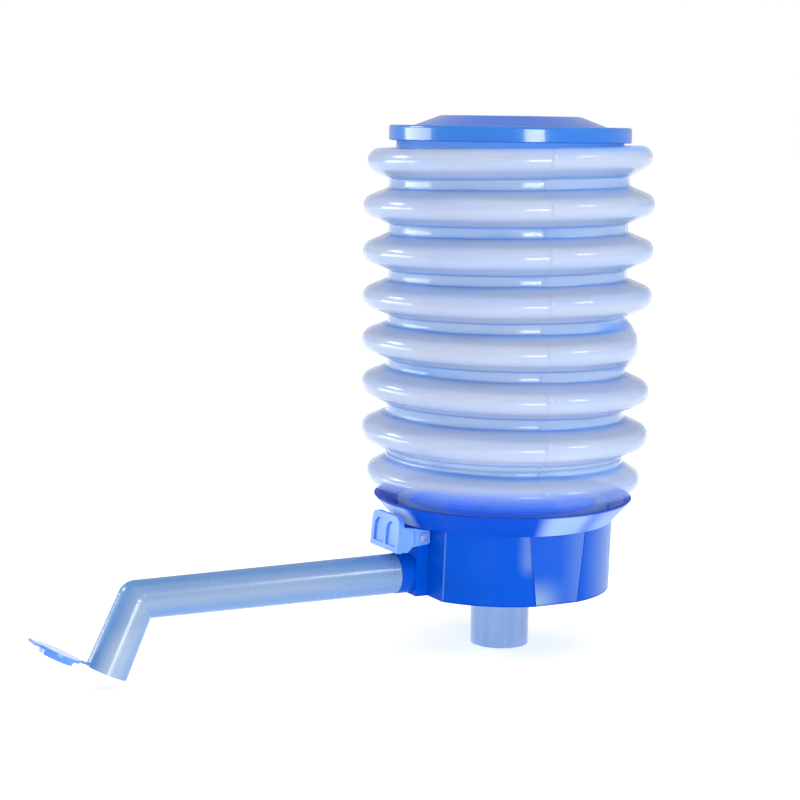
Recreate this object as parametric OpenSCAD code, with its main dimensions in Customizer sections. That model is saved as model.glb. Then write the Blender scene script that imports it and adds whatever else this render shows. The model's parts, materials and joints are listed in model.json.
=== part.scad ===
// Bellows hand pump for a water jug.
// Frame: origin on the pump's axis at the bottom of the skirt, +Z up, spout towards -X.

/* [Bellows] */
// Number of ridges
ridge_count = 8; // [3:1:10]
// Distance from one ridge to the next
ridge_pitch = 15; // [14.6:0.1:18]
// How far a middle ridge stands out past the cup's rim
ridge_out = 4.75; // [3:0.05:8]
// Depth of a valley below a middle ridge's tip
ridge_depth = 8.45; // [7.5:0.05:10]
// How much smaller the lowest ridge is
low_ridge_cut = 1.85; // [0:0.05:2.5]
// How much smaller the highest ridge is
high_ridge_cut = 1.25; // [0:0.05:2.5]
// Height of the lowest ridge's tip above the cup's rim
low_ridge_rise = 6.7; // [6.3:0.1:9]
// Radius of a ridge's rounded tip
nose_r = 3.8; // [3:0.1:4]
// Straight stretch at the bottom of a valley
valley_flat = 1.8; // [1:0.1:2.4]
// Fillet in a valley
valley_fillet = 0.8; // [0.4:0.1:1.1]
// Wall of the bellows
bellows_wall = 1; // [0.6:0.1:1.4]
// How far the upper neck stands inside the valleys
neck_step = 2.1; // [1:0.1:3]
// How far the lower neck stands inside the skirt's radius
foot_step = 0.6; // [0.2:0.1:1.4]
// Upper neck that shows under the cap
neck_show = 1.7; // [1:0.1:6]
// Wall of the neck ring and the foot ring's lip
clamp_wall = 1.7; // [1.2:0.1:2.4]
// Width of the foot ring beside the valve plate
foot_ring_w = 2.4; // [1.6:0.1:3]
// How far the foot ring's lip laps over the valve plate
lip_lap = 1.4; // [0.8:0.1:2.4]

/* [Push cap] */
// How far the cap's rim stands out past the bellows' upper neck
cap_over = 2.4; // [2:0.1:6]
// Height of the cap's rim
cap_rim_h = 5; // [4.5:0.1:9]
// Thickness of the cap's top
cap_t = 1.8; // [1.2:0.1:2.5]
// Rounding of the cap's edges
cap_edge = 0.9; // [0.4:0.1:1.4]
// Chamfer round the cap's lower edge
cap_chamfer = 0.3; // [0.1:0.1:0.6]
// Width of the flat ledge round the dome
dome_ledge = 7.7; // [5:0.1:12]
// Width of the dome's slope, between the middles of its two roundings
dome_slope = 10; // [9:0.1:12]
// Radius of the hollow rounding at the dome's foot
dome_fillet = 2; // [1:0.1:2.4]
// Radius of the rounding at the dome's top
dome_round = 5; // [3:0.1:5.5]
// Height of the dome
dome_h = 3.3; // [2.5:0.1:6]

/* [Cup] */
// How far the cup's rim stands out past the skirt
cup_flare = 6.3; // [5.5:0.1:8]
// Height of the cup above the skirt
cup_h = 7.3; // [6.8:0.1:9]
// Thickness of the cup's rim
rim_t = 1.7; // [1.4:0.1:2]
// Height of the cup's floor above the skirt
floor_rise = 1.2; // [1:0.1:1.6]
// Thickness of the cup's floor
floor_t = 2.4; // [2.2:0.1:2.6]
// Height of the straight socket for the bellows' foot
foot_socket_h = 2.2; // [1.6:0.1:2.6]

/* [Skirt] */
// How far the round skirt stands out past the flat behind the spout
skirt_bulge = 4.8; // [3:0.1:6]
// How far the skirt tapers in towards its bottom
skirt_draft = 0.6; // [0:0.1:0.8]
// Depth of the front, back and right flats
side_depth = 1.4; // [0.6:0.1:2]
// Room between the neck socket and the flat behind the spout
flat_room = 0.1; // [0.1:0.1:2]
// Wall of the skirt
skirt_wall = 2; // [1.6:0.1:2.2]
// Number of gussets between the skirt and the neck socket
gusset_count = 8; // [4:4:8]
// Thickness of a gusset
gusset_t = 1.4; // [1:0.1:2]
// Height of the gussets' lower edge
gusset_low = 1; // [0.5:0.1:4]

/* [Jug neck] */
// Outer diameter of the jug's neck
jug_neck_d = 55; // [53:0.5:55.4]
// Clearance all round the jug's neck
neck_clear = 0.1; // [0.05:0.05:0.15]
// Depth of the jug's neck in the socket
neck_depth = 11.5; // [9:0.5:11.5]
// Wall of the soft sleeve
sleeve_t = 0.85; // [0.6:0.05:0.9]
// Thickness of the stop that the jug's rim meets
stop_t = 1; // [0.6:0.1:1.2]
// Inner radius of that stop
stop_r = 22.5; // [20:0.5:25]
// Wall of the socket's ring
ring_wall = 1.4; // [1:0.1:1.5]
// Thickness of the web over the socket
web_t = 1.2; // [1:0.1:1.4]

/* [Inlet] */
// Outer radius of the inlet tube at its flange
tube_r = 10.1; // [9.8:0.1:11]
// How far the inlet tube tapers in towards its end
tube_draft = 0.4; // [0:0.1:0.6]
// Length of the inlet tube below the skirt
tube_drop = 20.5; // [15:0.5:60]
// Radius of the socket for the dip tube
dip_socket_r = 8.4; // [8:0.1:8.6]
// Length of that socket above the skirt's bottom
dip_socket_rise = 2; // [1:0.5:5]
// Radius of the water way through the inlet
inlet_r = 7.5; // [7:0.1:7.8]
// Radius of the inlet tube's flange
tube_flange_r = 13; // [12:0.5:16]
// Thickness of that flange
tube_flange_t = 1.4; // [1:0.1:2]
// Radius of the spigot on top of the inlet tube
tube_spigot_r = 9; // [8.7:0.1:9.4]
// Height of that spigot
tube_spigot_h = 2; // [1.5:0.1:2.2]
// Thickness of the inlet seal
inlet_seal_t = 0.7; // [0.5:0.1:0.8]

/* [Valves] */
// Radius of the drum that carries the valves' water ways
drum_r = 18.5; // [18:0.1:19]
// Thickness of the valve plate
plate_t = 1.8; // [1.4:0.1:2.2]
// Height of the raised platform above the cup's floor
platform_h = 5.3; // [5:0.1:6]
// Thickness of the gasket under the valve plate
gasket_t = 0.8; // [0.5:0.1:1]
// Distance of each valve from the axis
valve_x = 8.5; // [8:0.1:9]
// Radius of the intake valve's raised seat
intake_seat_r = 6.9; // [6.4:0.1:7.4]
// Radius of the delivery valve's raised seat
delivery_seat_r = 5.3; // [5:0.1:6]
// Height of the raised seats
seat_h = 0.8; // [0.5:0.1:1]
// Radius of the intake valve's head
intake_head_r = 5.7; // [5.4:0.1:6]
// Radius of the delivery valve's head
delivery_head_r = 4.6; // [4.4:0.1:5]
// Thickness of the valves' heads
valve_head_t = 1; // [0.8:0.1:1.2]
// Lift of the valves
valve_lift = 1.1; // [0.8:0.1:1.2]
// Radius of the valves' stems
valve_stem_r = 1.3; // [1.1:0.1:1.5]
// How far the barb stands out of a valve's stem
barb_out = 0.8; // [0.5:0.1:1]
// Length of the barb
barb_len = 1.2; // [0.8:0.1:1.4]
// Thickness of a valve's head at its edge
valve_edge_t = 0.3; // [0.2:0.1:0.6]
// Width of the bevel towards that edge
valve_bevel = 0.6; // [0.3:0.1:1.2]
// Number of water holes round each valve
valve_holes = 6; // [4:1:6]

/* [Water ways] */
// Width of the gallery from the delivery valve to the riser
gallery_w = 10; // [8:0.5:11]
// Height of the gallery
gallery_h = 2.4; // [2:0.1:2.6]
// Wall round the water ways
way_wall = 1.2; // [1:0.1:1.4]
// Width of the block that holds the riser
block_w = 14; // [13.6:0.2:14.2]
// How far the block stands out of its flat
block_out = 4.2; // [4:0.1:4.4]

/* [Spout] */
// Outer radius of the spout's collar
collar_r = 6.7; // [6.4:0.1:6.8]
// Length of the collar
collar_len = 4.8; // [4:0.1:5.5]
// Height of the collar's lower side above the skirt's bottom
collar_lift = 0.1; // [0:0.05:0.4]
// Thickness of the spigot's O-ring
oring_d = 0.7; // [0.5:0.05:0.8]
// Radius of the spout's spigot in the collar
spigot_r = 5; // [4.6:0.1:5.2]
// Outer radius of the spout at the collar
spout_root_r = 6.6; // [6:0.1:6.6]
// Outer radius of the spout at its bend
spout_bend_r = 6.15; // [5.6:0.05:6.4]
// Distance from the axis to the spout's bend
spout_reach = 130; // [90:0.5:160]
// Wall of the spout
spout_wall = 1.2; // [0.8:0.1:1.3]
// Angle of the end from straight down, outwards
mouth_angle = 24.5; // [0:0.5:45]
// Length of the end from the bend to the mouth
mouth_len = 24; // [18:0.25:40]
// Outer radius of the mouth
mouth_r = 6.75; // [6:0.05:6.8]
// Wall at the mouth
mouth_wall = 0.7; // [0.6:0.05:0.8]

/* [Flap] */
// Radius of the flap
flap_r = 7.4; // [6.8:0.1:7.6]
// Thickness of the flap
flap_t = 0.9; // [0.7:0.1:1.1]
// Length of the flap's finger lip
lip_len = 2; // [1.5:0.1:4]
// Width of the finger lip
lip_w = 6; // [4:0.5:8]
// Height of the stopper plug
plug_h = 1.6; // [1.2:0.1:2.4]
// Clearance of the plug in the mouth
plug_clear = 0.2; // [0.1:0.05:0.4]
// How far the plug tapers in towards its end
plug_draft = 0.4; // [0.2:0.1:0.8]
// Wall of the plug
plug_wall = 1; // [0.7:0.1:1.4]
// Distance from the mouth's edge to the flap's fold
fold_gap = 1.85; // [1.7:0.05:2.6]
// Width of the strap
strap_w = 5; // [3:0.5:7]
// Thickness of the strap
strap_t = 0.4; // [0.3:0.05:0.5]
// Angle of the open flap, counted from closed
flap_open = 183; // [120:1:186]

/* [Lever] */
// Height of the lever's pin above the thumb plate's lower edge
pin_rise = 4.7; // [4.5:0.1:5.5]
// Height of the skirt above the lever's pin
pin_cover = 3; // [2.6:0.1:4]
// Distance of the lever's pin behind the block's face
pin_inset = 1.2; // [1.15:0.05:1.3]
// Radius of the lever's pin
pin_r = 1; // [0.9:0.05:1.1]
// Width of the lever
lever_w = 19; // [18.6:0.1:22]
// Thickness of the lever's arms
arm_t = 2; // [1.6:0.1:2.1]
// Reach of the arms' end past the pin
arm_end_r = 2.3; // [2:0.1:2.4]
// Radius of the corners of the arms' end
arm_corner = 1; // [0.8:0.1:1.6]
// Distance of the thumb plate in front of the collar
thumb_ahead = 2; // [1.5:0.1:3]
// Thickness of the thumb plate
thumb_t = 1.8; // [1.4:0.1:2.2]
// Height of the thumb plate's lower edge above the collar
thumb_clear = 1.8; // [1.8:0.1:3]
// Height of the thumb plate
thumb_h = 11.7; // [10.5:0.1:11.8]
// Radius of the thumb plate's upper corners
thumb_corner = 3; // [2:0.1:4]
// Depth of the two arched finger recesses
recess = 0.7; // [0.4:0.1:0.9]
// Height of the plain edge below the recesses
recess_low = 1.8; // [1.2:0.1:2.4]
// Width of the rib between the recesses
recess_rib = 1.6; // [1:0.1:2.4]
// Lean of the thumb plate towards the pump
thumb_lean = 5; // [0:0.5:6]
// Distance of the heel, which pushes the release stem, behind the thumb plate
heel_back = 2.1; // [2:0.05:2.4]
// Height of the heel above the thumb plate's lower edge
heel_rise = 1.2; // [1.1:0.05:1.4]
// Radius of the heel
heel_r = 1.1; // [0.9:0.1:1.2]

/* [Release valve] */
// Radius of the release stem
stem_r = 1.5; // [1.3:0.1:1.6]
// Free play between the heel and the stem's button
heel_play = 0.3; // [0.25:0.05:0.4]
// Radius of the stem's button
button_r = 2.2; // [2.1:0.05:2.4]
// Thickness of the stem's button and head
button_t = 0.9; // [0.7:0.1:1]
// Thickness of the release seal
release_seal_t = 0.6; // [0.4:0.05:0.7]
// How far the release seal reaches past the stem's head
release_seal_lap = 0.3; // [0.1:0.05:0.4]
// Width of the stem's air flutes
flute_w = 0.6; // [0.4:0.1:0.8]
// Depth of the stem's air flutes
flute_depth = 0.4; // [0.2:0.05:0.5]
// Wall that the release stem runs in
stem_wall = 1.8; // [1.6:0.1:2]
// Depth of the spring's pocket
pocket_depth = 0.8; // [0.5:0.1:1]
// Wire diameter of the release spring
wire_d = 0.4; // [0.3:0.05:0.45]
// Turns of the release spring
spring_turns = 4; // [3:1:4]

/* [Fits] */
// Gap between pieces that are pressed or laid together
seat_gap = 0.05; // [0.02:0.01:0.08]
// Radial clearance of a shaft in its bore
run_gap = 0.06; // [0.03:0.01:0.09]
// Gap between pieces that move past each other
free_gap = 0.3; // [0.2:0.05:0.4]

/* [Hidden] */
$fn = 96;
fine_fn = 48;
cut = 1;
overcut = 0.01;
socket_r = jug_neck_d / 2 + neck_clear;
sleeve_r = socket_r + sleeve_t;
ring_in = sleeve_r + seat_gap;
ring_out = ring_in + ring_wall;
spout_flat = ring_out + flat_room + skirt_wall;
skirt_r = spout_flat + skirt_bulge;
side_flat = skirt_r - side_depth;
rim_r = skirt_r + cup_flare;
ridge_r = rim_r + ridge_out;
valley_r = ridge_r - ridge_depth;
neck_r = valley_r - neck_step;
neck_in = neck_r - bellows_wall;
foot_r = skirt_r - foot_step;
foot_in = foot_r - bellows_wall;
plate_r = foot_in - foot_ring_w;
cap_r = neck_r + cap_over;
dome_foot_r = cap_r - dome_ledge;
dome_top_r = dome_foot_r - dome_slope;
collar_z = collar_r + collar_lift;
thumb_low = collar_z + collar_r + thumb_clear;
stem_z = thumb_low + heel_rise;
pin_z = thumb_low + pin_rise;
skirt_h = pin_z + pin_cover;
rim_z = skirt_h + cup_h;
floor_z = skirt_h + floor_rise;
floor_low = floor_z - floor_t;
low_ridge_z = rim_z + low_ridge_rise;
high_ridge_z = low_ridge_z + (ridge_count - 1) * ridge_pitch;
shoulder_z = high_ridge_z + nose_r;
cap_z = shoulder_z + neck_show;
cap_top = cap_z + cap_rim_h;
neck_top = cap_top - cap_t - seat_gap;
web_z = neck_depth + stop_t + seat_gap;
web_top = web_z + web_t;
drum_low = web_z;
plate_z = floor_z + gasket_t;
platform_top = floor_z + platform_h;
platform_low = platform_top - plate_t;
seat_top = platform_top + seat_h;
block_x = spout_flat + block_out;
collar_x = block_x + collar_len;
pin_x = block_x - pin_inset;
thumb_x = collar_x + thumb_ahead;
heel_x = thumb_x - heel_back;
riser_x = block_x - way_wall;
riser_in = spout_flat - skirt_wall / 2;
riser_top = floor_low - seat_gap;
gallery_z = floor_low - gallery_h;
stem_seat_x = block_x - pocket_depth - stem_wall;
button_x = heel_x - heel_r - heel_play;
bend_z = collar_z;
// How far the ball at the bend covers the ends of the tubes that meet there.
bend_cover = 0.03;
fold_x = mouth_r + fold_gap;
plug_r = mouth_r - mouth_wall - plug_clear;
plug_end_r = plug_r - plug_draft;

// Radius of the skirt's outside at a height.
function skirt_at(z) = skirt_r - skirt_draft * (skirt_h - z) / skirt_h;

// Points of an arc, in degrees, for a profile's rounded corner.
function arc(x, y, r, from, to, steps = 6) =
    [for (i = [0:steps]) let (a = from + (to - from) * i / steps) [x + r * cos(a), y + r * sin(a)]];

// A ring between two radii, standing on z.
module ring(r_out, r_in, z, h) {
    translate([0, 0, z])
        difference() {
            cylinder(h = h, r = r_out);
            translate([0, 0, -cut])
                cylinder(h = h + 2 * cut, r = r_in);
        }
}

// Round part of the skirt with its flats, drawn in by inset, from z_low to z_high.
module skirt_body(inset, z_low, z_high) {
    side = side_flat - inset;
    behind = spout_flat - inset;
    intersection() {
        translate([0, 0, z_low])
            cylinder(h = z_high - z_low, r1 = skirt_at(z_low) - inset, r2 = skirt_at(z_high) - inset);
        translate([-behind, -side, z_low])
            cube([behind + side, 2 * side, z_high - z_low]);
    }
}

// ---- Bellows ----

// Tip radius of ridge i, counted from the bottom.
function tip_r(i) =
    ridge_r - (i == 0 ? low_ridge_cut : 0) - (i == ridge_count - 1 ? high_ridge_cut : 0);

// Slope of ridge i's flanks, which touch its rounded tip and the fillets of the valleys beside it.
function flank_angle(i) =
    let (rise = (ridge_pitch - valley_flat) / 2,
         reach = tip_r(i) - nose_r - valley_r - valley_fillet)
    acos((nose_r + valley_fillet) / norm([rise, reach])) - atan(reach / rise);

// Half height of ridge i's flank at radius r, on the surface that lies inset inside the outer one.
function flank_h(i, r, inset) =
    (nose_r - inset) / cos(flank_angle(i)) + (tip_r(i) - nose_r - r) * tan(flank_angle(i));

// Points up one ridge's surface, from the valley below it to the valley above it.
function ridge_points(i, inset) =
    let (z = low_ridge_z + i * ridge_pitch,
         slope = flank_angle(i),
         corner_r = valley_r + valley_fillet,
         corner_z = (ridge_pitch - valley_flat) / 2,
         corner = valley_fillet + inset,
         nose_x = tip_r(i) - nose_r,
         nose = nose_r - inset,
         top_ridge = i == ridge_count - 1)
    concat(
        i == 0 ? [] : arc(corner_r, z - corner_z, corner, 180, 90 + slope, 3),
        arc(nose_x, z, nose, slope - 90, top_ridge ? 90 : 90 - slope, 10),
        top_ridge ? [] : arc(corner_r, z + corner_z, corner, 270 - slope, 180, 3));

// Points up the whole surface that lies inset inside the outer one, from the foot to the upper neck.
function bellows_points(inset) =
    concat(
        [[foot_r - inset, floor_z + seat_gap],
         [foot_r - inset, low_ridge_z - flank_h(0, foot_r - inset, inset)]],
        [for (i = [0:ridge_count - 1]) each ridge_points(i, inset)],
        [[neck_r - inset, shoulder_z - inset], [neck_r - inset, neck_top]]);

module bellows() {
    inner = bellows_points(bellows_wall);
    color([0.62, 0.74, 0.94, 0.6])
        rotate_extrude()
            polygon(concat(bellows_points(0),
                           [for (k = [len(inner) - 1:-1:0]) inner[k]]));
}

// ---- Push cap ----

// Slope of the dome's side, which touches the roundings at its foot and at its top.
function dome_angle() =
    let (both = dome_fillet + dome_round)
    atan2(dome_slope, both - dome_h) - acos(both / norm([dome_slope, both - dome_h]));

// The cap's section: outside with rounded edges, less the hollow for the neck and the dome.
module push_cap() {
    dome_top = cap_top + dome_h;
    hollow_r = dome_foot_r - cap_t;
    slope = dome_angle();
    color([0.25, 0.47, 0.88])
        rotate_extrude()
            difference() {
                polygon(concat(
                    [[0, cap_z], [cap_r - cap_chamfer, cap_z], [cap_r, cap_z + cap_chamfer]],
                    arc(cap_r - cap_edge, cap_top - cap_edge, cap_edge, 0, 90),
                    arc(dome_foot_r, cap_top + dome_fillet, dome_fillet, 270, 270 - slope),
                    arc(dome_top_r, dome_top - dome_round, dome_round, 90 - slope, 90),
                    [[0, dome_top]]));
                translate([0, cap_z - cut])
                    square([neck_r + seat_gap, neck_top + seat_gap - cap_z + cut]);
                polygon([[0, cap_top - cap_t - cut], [hollow_r, cap_top - cap_t - cut],
                         [hollow_r, cap_top - cap_t], [dome_top_r - cap_t / 2, dome_top - cap_t],
                         [0, dome_top - cap_t]]);
            }
}

// Ring inside the upper neck.
module neck_ring() {
    color([0.8, 0.86, 0.95])
        ring(neck_in - seat_gap, neck_in - seat_gap - clamp_wall, shoulder_z,
             neck_top - shoulder_z);
}

// Ring inside the lower neck, with a lip over the valve plate's edge.
module foot_ring() {
    outer = foot_in - seat_gap;
    lip_z = plate_z + plate_t + seat_gap;
    color([0.8, 0.86, 0.95])
        union() {
            ring(outer, plate_r + seat_gap, floor_z + seat_gap, lip_z - floor_z);
            ring(outer, plate_r - lip_lap, lip_z, clamp_wall);
        }
}

// ---- Cup with the valve drum ----

module cup() {
    socket = foot_r + seat_gap;
    gallery_out = spout_flat - skirt_wall - seat_gap;
    color([0.2, 0.5, 0.95])
        difference() {
            union() {
                translate([0, 0, skirt_h])
                    cylinder(h = cup_h, r1 = skirt_r, r2 = rim_r);
                skirt_body(skirt_wall + seat_gap, floor_low, skirt_h);
                translate([0, 0, drum_low])
                    cylinder(h = skirt_h - drum_low, r = drum_r);
                translate([-gallery_out, -gallery_w / 2 - way_wall, gallery_z - way_wall])
                    cube([gallery_out, gallery_w + 2 * way_wall, skirt_h - gallery_z]);
            }
            translate([0, 0, floor_z])
                cylinder(h = cup_h, r = socket);
            translate([0, 0, floor_z + foot_socket_h])
                cylinder(h = rim_z - floor_z - foot_socket_h, r1 = socket, r2 = rim_r - rim_t);
            translate([0, 0, rim_z - overcut])
                cylinder(h = cut, r = rim_r - rim_t);
            inlet_ways();
            delivery_ways();
        }
}

// Water ways from the inlet tube up to the intake valve.
module inlet_ways() {
    seal_z = drum_low + tube_spigot_h;
    way_top = gallery_z - way_wall;
    translate([0, 0, drum_low - cut])
        cylinder(h = tube_spigot_h + inlet_seal_t + cut, r = tube_spigot_r + seat_gap);
    translate([0, 0, seal_z])
        cylinder(h = way_top - seal_z, r = inlet_r);
    translate([valve_x, 0, seal_z + inlet_seal_t + seat_gap])
        cylinder(h = floor_z - seal_z, r = valve_x - 2 * way_wall);
}

// Water ways from the delivery valve out to the riser.
module delivery_ways() {
    translate([-valve_x, 0, gallery_z])
        cylinder(h = floor_z - gallery_z + cut, r = delivery_head_r);
    translate([-spout_flat, -gallery_w / 2, gallery_z])
        cube([spout_flat - valve_x, gallery_w, gallery_h]);
}

// ---- Valves ----

// One valve's hub bore and the ring of water holes round it.
module valve_bores(head_r) {
    hole_r = (head_r - valve_stem_r) / 4;
    translate([0, 0, platform_low - cut])
        cylinder(h = plate_t + seat_h + 2 * cut, r = valve_stem_r + run_gap, $fn = fine_fn);
    for (i = [0:valve_holes - 1])
        rotate(i * 360 / valve_holes)
            translate([(head_r + valve_stem_r) / 2, 0, platform_low - cut])
                cylinder(h = plate_t + seat_h + 2 * cut, r = hole_r, $fn = fine_fn);
}

// Flanged plate with the raised platform, its two seats and the wall between the two water spaces.
module valve_plate() {
    color([0.35, 0.6, 0.97])
        difference() {
            union() {
                difference() {
                    union() {
                        translate([0, 0, plate_z])
                            cylinder(h = plate_t, r = plate_r);
                        translate([0, 0, plate_z])
                            cylinder(h = platform_top - plate_z, r = drum_r);
                    }
                    translate([0, 0, plate_z - cut])
                        cylinder(h = platform_low - plate_z + cut, r = drum_r - plate_t);
                }
                translate([-way_wall / 2, plate_t / 2 - drum_r, floor_z + seat_gap])
                    cube([way_wall, 2 * drum_r - plate_t, platform_top - floor_z - plate_t / 2]);
                translate([valve_x, 0, platform_low])
                    cylinder(h = plate_t + seat_h, r = intake_seat_r);
                translate([-valve_x, 0, platform_low])
                    cylinder(h = plate_t + seat_h, r = delivery_seat_r);
            }
            translate([valve_x, 0, 0])
                valve_bores(intake_head_r);
            translate([-valve_x, 0, 0])
                valve_bores(delivery_head_r);
        }
}

module plate_gasket() {
    color([0.2, 0.2, 0.22])
        ring(plate_r, drum_r + way_wall, floor_z, gasket_t);
}

// Rubber mushroom, its face that meets the seat at z = 0. up says whether its head points up.
module mushroom(head_r, up) {
    barb_r = valve_stem_r + barb_out;
    grip = plate_t + seat_h + valve_lift;
    mirror([0, 0, up ? 0 : 1])
        rotate_extrude()
            polygon([[0, valve_head_t], [head_r - valve_bevel, valve_head_t],
                     [head_r, valve_edge_t], [head_r, 0],
                     [valve_stem_r, 0], [valve_stem_r, -grip], [barb_r, -grip],
                     [barb_r - barb_len, -grip - barb_len], [0, -grip - barb_len]]);
}

// Lies closed on its seat.
module intake_valve() {
    color([0.85, 0.87, 0.9])
        translate([valve_x, 0, seat_top + seat_gap])
            mushroom(intake_head_r, true);
}

// Hangs open by its barb, one lift below its seat.
module delivery_valve() {
    color([0.85, 0.87, 0.9])
        translate([-valve_x, 0, platform_low - valve_lift + seat_gap])
            mushroom(delivery_head_r, false);
}

// ---- Skirt with the neck socket, the riser and the collar ----

module base_skirt() {
    color([0.05, 0.36, 0.9])
        difference() {
            union() {
                difference() {
                    skirt_body(0, 0, skirt_h);
                    skirt_body(skirt_wall, -cut, skirt_h + cut);
                }
                gussets();
                ring(ring_out, ring_in, 0, web_top);
                ring(ring_in + ring_wall / 2, drum_r + seat_gap, web_z, web_t);
                translate([-block_x, -block_w / 2, 0])
                    cube([block_x - ring_in + ring_wall, block_w, web_top]);
                translate([-block_x, -block_w / 2, 0])
                    cube([block_x - spout_flat + skirt_wall, block_w, skirt_h - seat_gap]);
                translate([-collar_x, 0, collar_z])
                    rotate([0, 90, 0])
                        cylinder(h = collar_len + way_wall / 2, r = collar_r);
            }
            translate([0, 0, -cut])
                cylinder(h = web_z + cut, r = ring_in);
            riser_ways();
            release_bores();
            pin_hole(pin_r);
        }
}

// Gussets between the socket's ring and the skirt.
module gussets() {
    intersection() {
        for (i = [0:gusset_count - 1])
            rotate((i + 0.5) * 360 / gusset_count)
                translate([ring_in + ring_wall / 2, -gusset_t / 2, gusset_low])
                    cube([skirt_r, gusset_t, web_top - gusset_low]);
        skirt_body(skirt_wall / 2, 0, skirt_h);
    }
}

// Riser, its window to the gallery and the collar's bore.
module riser_ways() {
    translate([-riser_x, -gallery_w / 2, way_wall])
        cube([riser_x - riser_in, gallery_w, web_z - way_wall]);
    translate([-stem_seat_x, -gallery_w / 2, web_z - cut])
        cube([stem_seat_x - riser_in, gallery_w, riser_top - web_z + cut]);
    translate([-stem_seat_x, -gallery_w / 2, gallery_z])
        cube([stem_seat_x, gallery_w, riser_top - gallery_z]);
    translate([-collar_x - cut, 0, collar_z])
        rotate([0, 90, 0])
            cylinder(h = collar_len + way_wall + 1.5 * cut, r = spigot_r + run_gap);
}

// Bore for the release stem and the pocket for its spring.
module release_bores() {
    translate([-block_x - cut, 0, stem_z])
        rotate([0, 90, 0]) {
            cylinder(h = block_x - stem_seat_x + 2 * cut, r = stem_r + run_gap, $fn = fine_fn);
            cylinder(h = pocket_depth + cut, r = button_r + free_gap, $fn = fine_fn);
        }
}

module pin_hole(r) {
    translate([-pin_x, -lever_w, pin_z])
        rotate([-90, 0, 0])
            cylinder(h = 2 * lever_w, r = r, $fn = fine_fn);
}

// Soft liner with the stop that the jug's rim meets.
module neck_sleeve() {
    color([0.75, 0.82, 0.92])
        union() {
            ring(sleeve_r, socket_r, 0, neck_depth + stop_t);
            ring(sleeve_r, stop_r, neck_depth, stop_t);
        }
}

// ---- Inlet ----

module inlet_tube() {
    flange_z = drum_low - seat_gap - tube_flange_t;
    color([0.35, 0.6, 0.95])
        difference() {
            union() {
                translate([0, 0, -tube_drop])
                    cylinder(h = tube_drop + flange_z + tube_flange_t, r1 = tube_r - tube_draft, r2 = tube_r);
                translate([0, 0, flange_z])
                    cylinder(h = tube_flange_t, r = tube_flange_r);
                translate([0, 0, flange_z])
                    cylinder(h = tube_flange_t + seat_gap + tube_spigot_h, r = tube_spigot_r);
            }
            translate([0, 0, -tube_drop - cut])
                cylinder(h = tube_drop + dip_socket_rise + cut, r = dip_socket_r);
            cylinder(h = drum_low + tube_spigot_h + cut, r = inlet_r);
        }
}

module inlet_seal() {
    color([0.2, 0.2, 0.22])
        ring(tube_spigot_r, inlet_r, drum_low + tube_spigot_h, inlet_seal_t - seat_gap);
}

// ---- Spout ----

// Puts its children in the frame of the spout's end: origin at the bend, +Z towards the mouth,
// +X to the outer side.
module at_end() {
    translate([-spout_reach, 0, bend_z])
        rotate([0, 180 + mouth_angle, 0])
            children();
}

// The spout's outer form (inset = 0) or its bore, which starts behind a shoulder as thick as the wall.
module spout_form(inset, mouth_inset, extra) {
    root_x = collar_x + seat_gap + inset;
    translate([-root_x, 0, collar_z])
        rotate([0, -90, 0])
            cylinder(h = spout_reach - root_x, r1 = spout_root_r - inset, r2 = spout_bend_r - inset);
    translate([-spout_reach, 0, bend_z])
        sphere(r = spout_bend_r - inset + bend_cover);
    at_end() {
        cylinder(h = mouth_len, r1 = spout_bend_r - inset, r2 = mouth_r - mouth_inset);
        if (extra > 0)
            translate([0, 0, mouth_len - plug_h - free_gap])
                cylinder(h = plug_h + free_gap + extra, r = mouth_r - mouth_inset);
    }
}

module spout() {
    spigot_len = collar_len + way_wall - free_gap;
    shoulder = 2 * spout_wall;
    color([0.62, 0.75, 0.92, 0.8])
        difference() {
            union() {
                spout_form(0, 0, 0);
                translate([-collar_x - 2 * seat_gap, 0, collar_z])
                    rotate([0, 90, 0])
                        cylinder(h = spigot_len, r = spigot_r);
            }
            spout_form(spout_wall, mouth_wall, cut);
            translate([-collar_x - shoulder, 0, collar_z])
                rotate([0, 90, 0])
                    cylinder(h = spigot_len + shoulder + cut, r = spigot_r - spout_wall);
            spout_groove();
        }
}

// Groove for the O-ring.
module spout_groove() {
    translate([-collar_x + collar_len / 2, 0, collar_z])
        rotate([0, 90, 0])
            difference() {
                cylinder(h = 2 * oring_d, r = spigot_r + cut, center = true);
                cylinder(h = 2 * oring_d + cut, r = spigot_r - oring_d, center = true);
            }
}

module spout_seal() {
    color([0.2, 0.2, 0.22])
        translate([-collar_x + collar_len / 2, 0, collar_z])
            rotate([0, 90, 0])
                rotate_extrude()
                    translate([spigot_r - oring_d / 2, 0])
                        circle(d = oring_d, $fn = fine_fn);
}

// Thin strap from the mouth's edge to the open flap.
module flap_strap() {
    strap_in = mouth_r + seat_gap;
    strap_len = fold_x + fold_x - flap_r - free_gap - strap_in;
    color([0.45, 0.65, 0.95])
        at_end()
            translate([strap_in, -strap_w / 2, mouth_len - flap_t])
                cube([strap_len, strap_w, strap_t]);
}

// The flap, drawn closed on the mouth and then turned open about its fold.
module spout_flap() {
    color([0.3, 0.55, 0.95])
        at_end()
            translate([fold_x, 0, mouth_len])
                rotate([0, flap_open, 0])
                    translate([-fold_x, 0, free_gap / 2])
                        flap_closed();
}

// Closed flap: its face at z = 0, its plug downwards into the mouth.
module flap_closed() {
    difference() {
        union() {
            cylinder(h = flap_t, r = flap_r);
            translate([-flap_r - lip_len, -lip_w / 2, 0])
                cube([flap_r + lip_len, lip_w, flap_t]);
            translate([0, 0, -plug_h])
                cylinder(h = plug_h, r1 = plug_end_r, r2 = plug_r);
        }
        translate([0, 0, -plug_h - cut])
            cylinder(h = plug_h + cut, r = plug_end_r - plug_wall);
    }
}

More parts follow.
